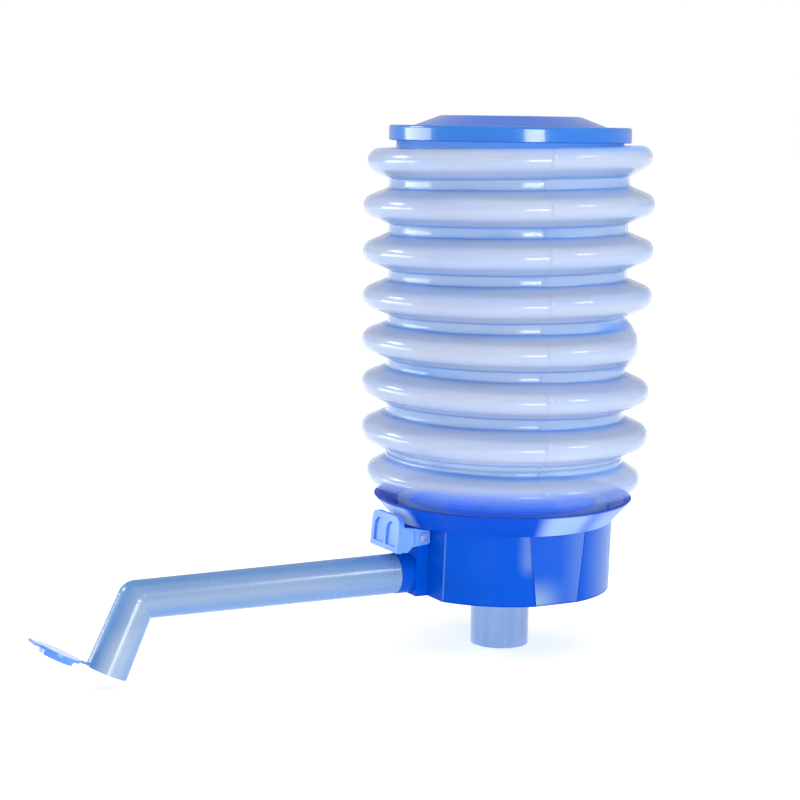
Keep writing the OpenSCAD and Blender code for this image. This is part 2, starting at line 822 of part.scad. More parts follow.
// ---- Release lever and valve ----

module release_lever() {
    color([0.36, 0.58, 0.97])
        difference() {
            union() {
                for (side = [-1, 1])
                    translate([0, side * (lever_w - arm_t) / 2, 0])
                        lever_arm();
                translate([-heel_x, -lever_w / 2 + arm_t / 2, stem_z])
                    rotate([-90, 0, 0])
                        cylinder(h = lever_w - arm_t, r = heel_r, $fn = fine_fn);
                thumb_plate();
            }
            pin_hole(pin_r + run_gap);
        }
}

// One arm: a rounded end at the pin, deeper towards the thumb plate, with its upright rib.
module lever_arm() {
    rib_x = (pin_x + thumb_x) / 2;
    rib_out = 0.3;
    sag = arm_t / 4;
    plate_x = thumb_x + thumb_t / 2;
    low = thumb_low + free_gap;
    corner_x = arm_end_r - arm_corner - pin_x;
    rotate([90, 0, 0])
        linear_extrude(height = arm_t, center = true)
            polygon(concat(
                [[-plate_x, thumb_low + thumb_h - thumb_corner], [-plate_x, low],
                 [-thumb_x, low], [-heel_x, stem_z - heel_r],
                 [-rib_x, pin_z - arm_end_r - sag]],
                arc(corner_x, pin_z - arm_end_r + arm_corner, arm_corner, -90, 0),
                arc(corner_x, pin_z + arm_end_r - arm_corner, arm_corner, 0, 90)));
    translate([-rib_x, 0, pin_z])
        cylinder(h = 2 * arm_end_r - sag, r = arm_t / 2 + rib_out, center = true, $fn = fine_fn);
}

// Upright plate with two arched recesses on its outer face.
module thumb_plate() {
    arch_w = (lever_w - 2 * arm_t - recess_rib) / 2;
    arch_h = thumb_h - arm_t - recess_low;
    translate([-thumb_x, 0, thumb_low])
        rotate([0, thumb_lean, 0])
            rotate([90, 0, -90])
                difference() {
                    linear_extrude(height = thumb_t)
                        union() {
                            translate([-lever_w / 2, 0])
                                square([lever_w, thumb_h - thumb_corner]);
                            translate([thumb_corner - lever_w / 2, 0])
                                square([lever_w - 2 * thumb_corner, thumb_h]);
                            for (side = [-1, 1])
                                translate([side * (lever_w / 2 - thumb_corner), thumb_h - thumb_corner])
                                    circle(r = thumb_corner, $fn = fine_fn);
                        }
                    for (side = [-1, 1])
                        translate([side * (arch_w + recess_rib) / 2, recess_low, thumb_t - recess])
                            linear_extrude(height = recess + cut)
                                union() {
                                    translate([-arch_w / 2, 0])
                                        square([arch_w, arch_h - arch_w / 2]);
                                    translate([0, arch_h - arch_w / 2])
                                        circle(d = arch_w, $fn = fine_fn);
                                }
                }
}

module lever_pin() {
    head_t = 0.4;
    head_r = pin_r + 0.3;
    half = lever_w / 2 + free_gap / 2;
    color([0.8, 0.83, 0.88])
        translate([-pin_x, 0, pin_z])
            rotate([-90, 0, 0])
                union() {
                    cylinder(h = 2 * half, r = pin_r, center = true, $fn = fine_fn);
                    for (side = [-1, 1])
                        translate([0, 0, side * (half + head_t / 2)])
                            cylinder(h = head_t, r = head_r, center = true, $fn = fine_fn);
                }
}

// Stem with its button outside and its head inside, and flutes that let the air past.
module release_stem() {
    head_x = stem_seat_x - seat_gap - release_seal_t;
    color([0.85, 0.87, 0.9])
        difference() {
            translate([-button_x, 0, stem_z])
                rotate([0, 90, 0])
                    union() {
                        cylinder(h = button_t, r = button_r, $fn = fine_fn);
                        cylinder(h = button_x - head_x + button_t, r = stem_r, $fn = fine_fn);
                        translate([0, 0, button_x - head_x])
                            cylinder(h = button_t, r = button_r, $fn = fine_fn);
                    }
            for (i = [0:2])
                translate([-button_x + 2 * button_t, 0, stem_z])
                    rotate([120 * i, 0, 0])
                        translate([0, -flute_w / 2, stem_r - flute_depth])
                            cube([button_x - head_x - 2 * button_t, flute_w, stem_r]);
        }
}

module release_seal() {
    color([0.2, 0.2, 0.22])
        translate([-stem_seat_x + seat_gap, 0, stem_z])
            rotate([0, 90, 0])
                difference() {
                    cylinder(h = release_seal_t - seat_gap, r = button_r + release_seal_lap, $fn = fine_fn);
                    translate([0, 0, -cut])
                        cylinder(h = release_seal_t + 2 * cut, r = stem_r + seat_gap, $fn = fine_fn);
                }
}

// Coil of round wire: each ring of the tube is worked out from its place along the turns.
module release_spring() {
    from_x = -(button_x - button_t) + wire_d / 2 + seat_gap;
    to_x = -(block_x - pocket_depth) - wire_d / 2 - seat_gap;
    coil_r = stem_r + free_gap / 2 + wire_d / 2;
    rings_per_turn = 12;
    sides = 6;
    rings = spring_turns * rings_per_turn;
    points = [for (k = [0:rings], s = [0:sides - 1])
        let (turn = 360 * k / rings_per_turn, around = 360 * s / sides,
             reach = coil_r + wire_d / 2 * cos(around))
        [from_x + (to_x - from_x) * k / rings + wire_d / 2 * sin(around),
         reach * cos(turn), reach * sin(turn)]];
    walls = [for (k = [0:rings - 1], s = [0:sides - 1])
        let (a = k * sides + s, b = k * sides + (s + 1) % sides)
        each [[a, b, b + sides], [a, b + sides, a + sides]]];
    first = [for (s = [1:sides - 2]) [0, s + 1, s]];
    last = [for (s = [1:sides - 2]) [rings * sides, rings * sides + s, rings * sides + s + 1]];
    color([0.7, 0.72, 0.75])
        translate([0, 0, stem_z])
            polyhedron(points, concat(walls, first, last));
}

push_cap();
neck_ring();
bellows();
foot_ring();
cup();
valve_plate();
plate_gasket();
intake_valve();
delivery_valve();
base_skirt();
neck_sleeve();
inlet_tube();
inlet_seal();
spout();
spout_seal();
flap_strap();
spout_flap();
release_lever();
lever_pin();
release_stem();
release_seal();
release_spring();
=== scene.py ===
"""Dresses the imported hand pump: its folded bellows, its plastics and rubbers, the stage and the camera."""

import json
import math

import bmesh
import bpy
from mathutils import Matrix, Vector


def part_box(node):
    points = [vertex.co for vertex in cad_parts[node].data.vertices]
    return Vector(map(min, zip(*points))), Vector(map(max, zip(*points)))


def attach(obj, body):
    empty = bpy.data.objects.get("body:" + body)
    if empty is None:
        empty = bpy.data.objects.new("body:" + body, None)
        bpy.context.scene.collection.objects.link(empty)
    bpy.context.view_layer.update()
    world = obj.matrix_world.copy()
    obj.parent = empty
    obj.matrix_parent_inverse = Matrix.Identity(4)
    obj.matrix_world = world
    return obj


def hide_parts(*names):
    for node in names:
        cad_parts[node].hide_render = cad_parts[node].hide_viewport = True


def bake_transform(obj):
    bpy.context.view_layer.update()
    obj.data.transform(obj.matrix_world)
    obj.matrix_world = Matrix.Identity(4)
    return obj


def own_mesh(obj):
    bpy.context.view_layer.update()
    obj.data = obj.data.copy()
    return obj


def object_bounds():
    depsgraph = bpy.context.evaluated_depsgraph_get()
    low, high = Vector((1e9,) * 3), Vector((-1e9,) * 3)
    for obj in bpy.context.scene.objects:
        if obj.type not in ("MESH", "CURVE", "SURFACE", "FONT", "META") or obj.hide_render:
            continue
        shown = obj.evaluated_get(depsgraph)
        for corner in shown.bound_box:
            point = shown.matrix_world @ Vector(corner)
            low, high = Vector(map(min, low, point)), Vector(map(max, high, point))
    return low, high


bl_info = {
    "name": "Jug Pump Dressing",
    "version": (1, 0, 0),
    "blender": (4, 5, 0),
    "location": "3D View > Sidebar > Jug Pump",
    "description": "Shapes, materials, light and camera for a water jug hand pump",
    "category": "Object",
}

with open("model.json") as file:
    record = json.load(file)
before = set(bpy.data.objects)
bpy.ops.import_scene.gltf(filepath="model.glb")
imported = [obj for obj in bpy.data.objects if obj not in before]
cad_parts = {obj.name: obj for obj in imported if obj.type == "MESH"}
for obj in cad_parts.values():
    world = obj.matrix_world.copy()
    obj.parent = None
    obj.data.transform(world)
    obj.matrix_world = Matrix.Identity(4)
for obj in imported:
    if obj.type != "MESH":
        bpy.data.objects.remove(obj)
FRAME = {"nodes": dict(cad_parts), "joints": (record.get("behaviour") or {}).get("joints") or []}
CAD_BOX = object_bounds()
MM = 0.001
QUARTER = math.pi / 2
FULL = 2 * math.pi
BLACK = (0, 0, 0)
WHITE = (1, 1, 1)


# ---- Settings ----


def length(name, description, default_mm):
    """A length property, given in millimetres."""
    return bpy.props.FloatProperty(
        name=name, description=description, default=default_mm * MM, unit="LENGTH", precision=5
    )


def angle(name, description, degrees):
    """An angle property, given in degrees."""
    return bpy.props.FloatProperty(
        name=name, description=description, default=math.radians(degrees), subtype="ANGLE"
    )


def colour(name, description, default):
    """A colour property, in linear red, green and blue."""
    return bpy.props.FloatVectorProperty(
        name=name, description=description, default=default, size=3, subtype="COLOR", min=0, max=1
    )


class JugPumpBellowsSettings(bpy.types.PropertyGroup):
    ridge_pitch: length("Ridge pitch", "Distance from one ridge to the next", 15)
    ridge_depth: length("Ridge depth", "Depth of a valley below a ridge's tip", 8.45)
    low_ridge_cut: length("Low ridge cut", "How much smaller the lowest ridge is", 1.85)
    high_ridge_cut: length("High ridge cut", "How much smaller the highest ridge is", 1.25)
    low_ridge_z: length("Low ridge height", "Height of the lowest ridge's tip", 37)
    nose_radius: length("Nose radius", "Radius of a ridge's rounded tip", 3.8)
    valley_flat: length("Valley flat", "Straight stretch at the bottom of a valley", 1.8)
    valley_fillet: length("Valley fillet", "Rounding on both sides of a valley", 0.8)
    neck_step: length("Neck step", "How far the upper neck stands inside the valleys", 2.1)
    foot_radius: length("Foot radius", "Outer radius of the lower neck", 36.2)
    wall: length("Wall", "Thickness of the bellows", 1)
    seam_height: length("Seam height", "How far the mould seam stands out", 0.16)
    seam_width: length("Seam width", "Width of the mould seam", 0.5)
    seam_angle: angle("Seam angle", "Direction of the mould seam, round the pump's axis", -104)
    dent_depth: length("Dent depth", "How far the dented ridge is pushed in", 4.6)
    dent_angle: angle("Dent angle", "Direction of the dent, round the pump's axis", -24)
    dent_width: angle("Dent width", "Half width of the dent, round the pump's axis", 52)
    dent_ridge: bpy.props.IntProperty(
        name="Dented ridge", description="Ridge with the dent, counted from 0 at the bottom", default=3
    )
    lean: bpy.props.FloatVectorProperty(
        name="Lean",
        description="How far each ridge dips towards the right of the view, from the bottom up",
        default=[math.radians(a) for a in (0.8, 0.5, 1.0, 0.2, -0.9, -1.1, -1.0, -1.6)],
        size=8,
        unit="ROTATION",
    )
    ridge_colour: colour("Ridge", "Colour of the ridges", (0.63, 0.62, 0.68))
    # The flank colour is also the painted shade in the bellows' folds.
    flank_colour: colour("Flank", "Colour of the flanks beside a valley", (0.17, 0.36, 0.74))
    valley_colour: colour("Valley", "Colour at the bottom of a valley", (0.50, 0.58, 0.72))


class JugPumpStrapSettings(bpy.types.PropertyGroup):
    end_angle: angle("End angle", "Angle of the spout's end from straight down", 24.5)
    length: length("Length", "Length of the strap", 2.7)
    width: length("Width", "Width of the strap", 5)
    thickness: length("Thickness", "Thickness of the strap beside its fold", 0.4)


class JugPumpPlasticSettings(bpy.types.PropertyGroup):
    cap_rim: colour("Cap rim", "Colour of the push cap's rim", (0.02, 0.15, 0.52))
    cap_dome: colour("Cap dome", "Colour of the push cap's dome", (0.015, 0.12, 0.58))
    cup_deep: colour("Cup", "Deep colour of the cup", (0.0, 0.05, 0.40))
    cup_pale: colour("Cup edge", "Pale colour of the cup", (0.27, 0.40, 0.70))
    skirt_deep: colour("Skirt", "Deep colour of the skirt", (0.0, 0.06, 0.43))
    skirt_pale: colour("Skirt edge", "Pale colour of the skirt", (0.17, 0.27, 0.42))
    spout_core: colour("Spout", "Colour of the spout's side", (0.24, 0.31, 0.43))
    spout_edge: colour("Spout edge", "Colour of the spout's top and bottom", (0.09, 0.23, 0.50))
    flap: colour("Flap", "Colour of the spout's flap", (0.06, 0.20, 0.66))
    lever: colour("Lever", "Colour of the release lever", (0.08, 0.24, 0.84))
    tube: colour("Inlet tube", "Colour of the inlet tube", (0.17, 0.28, 0.50))
    plate: colour("Valve plate", "Colour of the valve plate", (0.0, 0.09, 0.6))


class JugPumpStageSettings(bpy.types.PropertyGroup):
    azimuth: angle("Azimuth", "Direction of the camera, round the pump", -28)
    pitch: angle("Pitch", "How far the camera looks down", 7.84)
    roll: angle("Roll", "Turn of the camera about its own line of sight", 0.85)
    distance: length("Distance", "Distance of the camera from the pump's axis", 661)
    offset: length("Offset", "How far the pump's axis stands right of the view's middle", 34.8)
    height: length("Height", "Height of the camera", 152.5)
    lens: bpy.props.FloatProperty(
        name="Lens", description="Focal length in millimetres on a 36 mm sensor", default=90
    )
    floor_colour: colour("Floor", "Colour of the floor", (0.93, 0.94, 0.95))
    fill: bpy.props.FloatProperty(
        name="Fill", description="Strength of the soft light from all sides", default=0.64, min=0
    )
    floor_glow: bpy.props.FloatProperty(
        name="Floor glow", description="Strength of the light from under the floor", default=0.42, min=0
    )


# ---- Materials ----


class Wire:
    """One socket of a material's nodes. Sums written on it become Math nodes."""

    def __init__(self, finish, socket):
        self.finish = finish
        self.socket = socket

    def math(self, operation, *terms):
        return self.finish.node("ShaderNodeMath", {"operation": operation}, dict(enumerate(terms)))

    def __add__(self, other):
        return self.math("ADD", self, other)

    def __radd__(self, other):
        return self.math("ADD", other, self)

    def __sub__(self, other):
        return self.math("SUBTRACT", self, other)

    def __rsub__(self, other):
        return self.math("SUBTRACT", other, self)

    def __mul__(self, other):
        return self.math("MULTIPLY", self, other)

    def __rmul__(self, other):
        return self.math("MULTIPLY", other, self)

    def __truediv__(self, other):
        return self.math("DIVIDE", self, other)

    def __abs__(self):
        return self.math("ABSOLUTE", self)

    def root(self):
        return self.math("SQRT", self)

    def or_more(self, other):
        """The larger of the two."""
        return self.math("MAXIMUM", self, other)

    def step(self, low, high):
        """Goes smoothly from 0 at low to 1 at high."""
        return self.finish.node(
            "ShaderNodeMapRange",
            {"interpolation_type": "SMOOTHSTEP"},
            {"Value": self, "From Min": low, "From Max": high},
        )


class Finish:
    """A material under construction: one Principled shader and the nodes that feed it."""

    def __init__(self, name, **constants):
        self.material = bpy.data.materials.new(name)
        self.material.use_nodes = True
        self.tree = self.material.node_tree
        self.tree.nodes.clear()
        output = self.tree.nodes.new("ShaderNodeOutputMaterial")
        self.shader = self.tree.nodes.new("ShaderNodeBsdfPrincipled")
        self.tree.links.new(self.shader.outputs["BSDF"], output.inputs["Surface"])
        for socket, value in constants.items():
            self.shader.inputs[socket.replace("_", " ").title().replace("Ior", "IOR")].default_value = value
        self.place = self.node("ShaderNodeTexCoord", out="Object")
        split = self.node("ShaderNodeSeparateXYZ", inputs={0: self.place})
        parts = split.socket.node.outputs
        self.x, self.y, self.z = (Wire(self, parts[axis]) for axis in "XYZ")

    def node(self, kind, settings=None, inputs=None, out=0):
        """Adds one node: its settings first, then the values or links of its sockets."""
        made = self.tree.nodes.new(kind)
        for key, value in (settings or {}).items():
            setattr(made, key, value)
        for key, value in (inputs or {}).items():
            if isinstance(value, Wire):
                self.tree.links.new(value.socket, made.inputs[key])
            else:
                made.inputs[key].default_value = value
        return Wire(self, made.outputs[out])

    def feed(self, socket, value):
        self.tree.links.new(value.socket, self.shader.inputs[socket])

    def mix(self, factor, first, second, blend="MIX"):
        """A colour between two colours."""
        shades = [c if isinstance(c, Wire) else (*c, 1) for c in (first, second)]
        settings = {"data_type": "RGBA", "blend_type": blend}
        return self.node("ShaderNodeMix", settings, {"Factor": factor, 6: shades[0], 7: shades[1]}, out=2)

    def noise(self, scale, detail=3, stretch=(1, 1, 1)):
        """Noise from 0 to 1 in the piece's own space, with its cells stretched."""
        where = self.node(
            "ShaderNodeMapping", {"vector_type": "POINT"}, {"Vector": self.place, "Scale": stretch}
        )
        return self.node(
            "ShaderNodeTexNoise", inputs={"Vector": where, "Scale": scale, "Detail": detail}
        )

    def radius(self):
        """Distance from the pump's axis."""
        return (self.x * self.x + self.y * self.y).root()

    def toward(self, direction):
        """From -1 to 1: how far a point faces a direction, given as an angle round the pump's axis."""
        along = self.x * math.cos(direction) + self.y * math.sin(direction)
        nonzero = 1e-5
        return along / (self.radius() + nonzero)

    def relief(self, height, distance, strength=0.5):
        """Bumps the surface by a height from 0 to 1."""
        bump = self.node(
            "ShaderNodeBump", inputs={"Height": height, "Distance": distance, "Strength": strength}
        )
        self.feed("Normal", bump)

    def facing_up(self):
        """From -1 to 1: how far the surface faces up."""
        where = self.node("ShaderNodeNewGeometry", out="Normal")
        split = self.node("ShaderNodeSeparateXYZ", inputs={0: where})
        return Wire(self, split.socket.node.outputs["Z"])

    def moulding(self, base, roughness, clouds=0.12, grain=0.02):
        """Gives a moulded colour its faint clouds, flow lines and skin."""
        cloud = self.noise(scale=55)
        flow = self.noise(scale=140, detail=2, stretch=(1, 1, 6))
        cloud_share, flow_share = 0.6, 0.4
        shade = 1 - clouds / 2 + cloud * clouds * cloud_share + flow * clouds * flow_share
        tint = self.node("ShaderNodeCombineXYZ", inputs={0: shade, 1: shade, 2: shade})
        self.feed("Base Color", self.mix(1.0, base, tint, "MULTIPLY"))
        skin = self.noise(scale=900, detail=2)
        skin_gloss, cloud_gloss = 0.06, 0.08
        self.feed("Roughness", roughness + (skin - 0.5) * skin_gloss + (cloud - 0.5) * cloud_gloss)
        skin_height, flow_height = 0.2, 0.8
        self.relief(skin * skin_height + flow * flow_height, grain * MM, strength=0.2)
        return self.material


def paint(material, *nodes):
    """Puts a material on CAD nodes."""
    for name in nodes:
        slots = FRAME["nodes"][name].data.materials
        slots.clear()
        slots.append(material)


def wear(piece, material, body, slot, *replaced):
    """Finishes a new piece: its material, its body and the nodes that it stands for. The slot is not used."""
    piece.data.materials.append(material)
    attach(piece, body)
    if replaced:
        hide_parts(*replaced)
    return piece


def lighter(shade, gain, lift):
    """A colour made brighter by a factor and a little more."""
    return tuple(min(1, c * gain + lift) for c in shade)


def range_of(joint_name):
    """The longer limit of a joint, in metres."""
    return next(joint for joint in FRAME["joints"] if joint["name"] == joint_name)["range_m"][1]


def bellows_film(settings):
    """Blown plastic: pale on its ridges, with painted shade where it folds in, a faint painted glow that is
    strongest at the neck, and clear over the valve plate, where the plate's blue is also painted in.
    """
    finish = Finish(
        "bellows_film",
        specular_ior_level=0.2,
        coat_weight=0.65,
        coat_roughness=0.08,
        coat_ior=1.4,
        coat_tint=(0.62, 0.78, 0.96, 1),
        emission_strength=1.0,
    )
    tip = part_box("bellows")[1].x
    depth = settings.ridge_depth
    out = (finish.radius() - (tip - depth)) / depth
    skin = finish.noise(scale=38, detail=4, stretch=(1, 1, 2.2))
    streak = finish.noise(scale=60, detail=4, stretch=(0.3, 0.3, 6)).step(0.4, 0.62)
    cloudiness = 0.2
    fog = out + (skin - 0.5) * cloudiness
    # Painted shade: the film is coloured bluer in the folds, towards the valleys and on the flanks beside
    # them, and more so on upward-facing flanks.
    base = finish.mix(fog.step(0.1, 0.4), settings.valley_colour, settings.ridge_colour)
    crease_shade = fog.step(0.0, 0.06) * (1 - fog.step(0.08, 0.3))
    upward_shade = 0.7 + 0.3 * finish.facing_up().step(-0.2, 0.5)
    base = finish.mix(crease_shade * upward_shade, base, settings.flank_colour)
    streak_tint = 0.23
    base = finish.mix(streak * streak_tint, base, settings.flank_colour)
    seam_line = (0.00001, 0.00009)
    seam_tint = 0.45
    seam = 1 - (1 - abs(finish.toward(settings.seam_angle))).step(*seam_line)
    base = finish.mix(seam * seam_tint, base, settings.flank_colour)
    # Painted see-through: low down, the valve plate's blue is painted into the film's colour; the clearer
    # film there also shows the plate for real.
    plate_blue, plate_show_through_tint = (0.01, 0.2, 0.8), 0.6
    over_plate = 1 - finish.z.step(36 * MM, 40 * MM)
    base = finish.mix(over_plate * plate_show_through_tint, base, plate_blue)
    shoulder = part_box("neck_ring")[0].z
    neck = finish.z.step(shoulder - 0.6 * MM, shoulder)
    base = finish.mix(neck, base, settings.flank_colour)
    finish.moulding(base, roughness=0.2, clouds=0.14, grain=0.03)
    # Painted glow: the film gives off a little light in its own colour, most at the neck under the cap,
    # standing in for light shining through the plastic.
    glow, neck_painted_glow = 0.07, 0.4
    finish.feed("Emission Color", finish.mix(glow + neck * neck_painted_glow, BLACK, base))
    low = 1 - finish.z.step(34.5 * MM, 40 * MM)
    uneven = (skin - 0.5) * 0.14 + streak * 0.1
    opacity, foot_clearing, neck_fogging = 0.62, 0.42, 0.2
    finish.feed("Alpha", opacity - low * foot_clearing + neck * neck_fogging + uneven)
    return finish.material


def cap_plastic(settings):
    """The push cap, with one blue on its dome and another on its rim."""
    finish = Finish("cap_plastic", specular_ior_level=0.25, coat_weight=0.35, coat_roughness=0.08)
    edge = finish.radius().step(31 * MM, 32.6 * MM)
    base = finish.mix(edge, settings.cap_dome, settings.cap_rim)
    return finish.moulding(base, roughness=0.22, clouds=0.16)


def cup_plastic(settings):
    """The funnel, with its light and shade painted in: deep over the skirt's corners, pale over its flats and
    near the spout, a painted shadow line on its rim and a faint painted glow.
    """
    finish = Finish("cup_plastic", specular_ior_level=0.05, emission_strength=0.3)
    # Painted light and shade: deep over the skirt's corners, pale over its flats and palest towards the
    # spout; the noise adds uneven clouds.
    away = finish.toward(0)
    corner = 4.0 * away * away * (1 - away * away)
    pale = 1 - corner.step(0.03, 0.28) * (1 - away.step(0.1, 0.45))
    even, light_toward_spout, clouds = 0.6, 0.4, 0.4
    pale = pale * (even - light_toward_spout * away + clouds * finish.noise(scale=24))
    base = finish.mix(pale, settings.cup_deep, settings.cup_pale)
    rim_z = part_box("cup")[1].z
    # Painted shadow: a thin dark blue band just under the top of the rim.
    rim_shadow_blue, rim_shadow_tint = (0.0, 0.045, 0.42), 0.9
    rim = finish.z.step(rim_z - 0.7 * MM, rim_z - 0.3 * MM)
    base = finish.mix(rim * rim_shadow_tint, base, rim_shadow_blue)
    # Painted glow: the funnel gives off a little light in its own colour, standing in for light shining
    # through the plastic.
    finish.feed("Emission Color", base)
    return finish.moulding(base, roughness=0.3)


def skirt_flats():
    """Distances from the axis to the skirt's side flats and to the one that faces the spout."""
    corners = [corner.co for corner in FRAME["nodes"]["base_skirt"].data.vertices]
    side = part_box("base_skirt")[1].y
    return side, max(-corner.x for corner in corners if abs(corner.y) > side / 2)


def skirt_plastic(settings):
    """The skirt: deep blue, with painted light and shade: paler on its flats and away from the spout, painted
    highlights near the flats' edges, painted shade lines at the flats' edges and the foot, and a faint
    painted glow.
    """
    finish = Finish("skirt_plastic", specular_ior_level=0.05, emission_strength=0.22)
    side, spout_side = skirt_flats()
    over = (abs(finish.y) - side).or_more(finish.x - side)
    flat = over.step(-0.012 * MM, -0.004 * MM)

    # On the flats, painted light: pale low down on the spout's half, and a little paler on the other half.
    low = 1 - finish.z.step(0, 11 * MM)
    spout_half = 1 - finish.x.step(-9 * MM, 5 * MM)
    everywhere, other_half = 0.06, 0.3
    panel_light = everywhere + low * spout_half + finish.x.step(0, 10 * MM) * other_half

    # Between them, painted light: paler away from the spout, and a painted highlight streak near the top.
    beside_light_share, streak_share, clouds = 0.68, 0.45, 0.16
    beside = finish.toward(0).step(0.2, 0.8) * beside_light_share
    highlight_streak_ends = finish.x.step(-15 * MM, -10.5 * MM) * (1 - finish.x.step(-10 * MM, 0))
    streak = highlight_streak_ends * finish.z.step(8 * MM, 15 * MM)
    pale = flat * panel_light + (1 - flat) * beside.or_more(streak * streak_share)
    pale = pale + (finish.noise(scale=30) - 0.5) * clouds
    base = finish.mix(pale, settings.skirt_deep, settings.skirt_pale)

    # The lines: a painted highlight at the edge of the spout's flat, and painted shade lines at the other
    # flats' edges and along the foot.
    ends = (-1.0 * finish.x) - spout_side
    bright = ends.step(-0.4 * MM, -0.1 * MM) * (1 - ends.step(-0.02 * MM, -0.005 * MM))
    edge_highlight_share, edge_shade_share, foot_shade_share = 0.4, 0.75, 0.5
    base = finish.mix(bright * edge_highlight_share, base, settings.skirt_pale)
    line = over.step(-0.26 * MM, -0.08 * MM) * (1 - flat)
    foot = 1 - finish.z.step(0.3 * MM, 0.9 * MM)
    edge_shade_blue = (0.0, 0.03, 0.36)
    base = finish.mix((line * edge_shade_share).or_more(foot * foot_shade_share), base, edge_shade_blue)
    # Painted glow: the skirt gives off a little light in its own colour, standing in for light shining
    # through the plastic.
    finish.feed("Emission Color", base)
    return finish.moulding(base, roughness=0.3)


def spout_plastic(settings):
    """Milky tube plastic with faint streaks along its length, painted bluer along its top and bottom for the
    deeper colour seen through more plastic there, and with painted shade underneath.
    """
    finish = Finish("spout_plastic", specular_ior_level=0.4, coat_weight=0.35, coat_roughness=0.15)
    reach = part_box("spout")[1].y
    # Painted: the top and bottom are bluer, standing in for the deeper colour seen through more plastic at
    # the tube's edges.
    side = (abs(finish.y) / reach).step(0.35, 1.0)
    streak = finish.noise(scale=70, stretch=(0.12, 2.2, 2.2))
    side_share, streak_share, underside_shade_share, root_share = 0.8, 0.5, 0.75, 0.45
    base = side * side_share + (streak - 0.5) * streak_share
    base = finish.mix(base, settings.spout_edge, settings.spout_core)
    # Painted shade: bluer where the tube faces down; it is also bluer towards its root.
    under = 1 - finish.facing_up().step(-0.65, 0.05)
    root = finish.x.step(-85 * MM, -45 * MM)
    base = finish.mix((under * underside_shade_share).or_more(root * root_share), base, settings.spout_edge)

    # The bent end: paler at its sides, bluer on the side that faces the pump.
    end = 1 - finish.z.step(-6 * MM, 1 * MM)
    end_share, inward_share = 0.32, 0.7
    base = finish.mix(end * side * end_share, base, lighter(settings.spout_core, gain=1.35, lift=0.06))
    tilt = bpy.context.scene.jug_pump_strap.end_angle
    low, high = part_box("flap_strap")
    fold = (low + high) / 2
    inward = (finish.x - fold.x) * math.cos(tilt) - (finish.z - fold.z) * math.sin(tilt)
    base = finish.mix(end * inward.step(8.5 * MM, 14 * MM) * inward_share, base, settings.spout_edge)
    finish.moulding(base, roughness=0.26, clouds=0.14)
    opacity, uneven = 0.93, 0.08
    finish.feed("Alpha", opacity + (streak - 0.5) * uneven)
    return finish.material


def plain_plastic(name, shade, roughness, stretch=(1, 1, 1), **constants):
    """A moulded plastic of one colour, with faint paler streaks."""
    finish = Finish(name, **constants)
    cloud = finish.noise(scale=80, stretch=stretch).step(0.3, 0.8)
    return finish.moulding(finish.mix(cloud, shade, lighter(shade, gain=1.25, lift=0.02)), roughness)


def rubber(name, shade, roughness=0.55):
    """Matt rubber with a faint pale bloom."""
    finish = Finish(name, sheen_weight=0.2)
    bloom = finish.noise(scale=220, detail=4).step(0.4, 0.8)
    base = finish.mix(bloom, shade, lighter(shade, gain=1.4, lift=0.02))
    return finish.moulding(base, roughness, clouds=0.08, grain=0.05)


def metal(name, shade):
    """Steel with fine marks."""
    finish = Finish(name, metallic=1.0)
    marks = finish.noise(scale=700)
    darkening, polish, wear_marks = 0.72, 0.2, 0.22
    darker = tuple(c * darkening for c in shade)
    finish.feed("Base Color", finish.mix(marks, darker, shade))
    finish.feed("Roughness", polish + marks * wear_marks)
    finish.relief(marks, 0.01 * MM)
    return finish.material


# ---- Meshes ----


def join_rings(made, rings, closed=False):
    """Smooth faces from each ring of points to the next, and back to the first or with two flat ends."""
    following = rings[1:] + (rings[:1] if closed else [])
    for ring, above in zip(rings, following):
        for k in range(len(ring)):
            after = (k + 1) % len(ring)
            made.faces.new((ring[k], ring[after], above[after], above[k])).smooth = True
    if not closed:
        made.faces.new(rings[0])
        made.faces.new(rings[-1][::-1])
        bmesh.ops.recalc_face_normals(made, faces=made.faces)


def to_data(made, name):
    """Turns a bmesh into a mesh."""
    data = bpy.data.meshes.new(name)
    made.to_mesh(data)
    made.free()
    return data


def place(name, data):
    """Links a new piece to the scene."""
    piece = bpy.data.objects.new(name, data)
    bpy.context.scene.collection.objects.link(piece)
    return piece


# ---- Bellows ----


def arc(x, z, radius, start, end, steps):
    """Points of an arc in the profile's plane, in radians."""
    turns = [start + (end - start) * i / steps for i in range(steps + 1)]
    return [(x + radius * math.cos(t), z + radius * math.sin(t)) for t in turns]


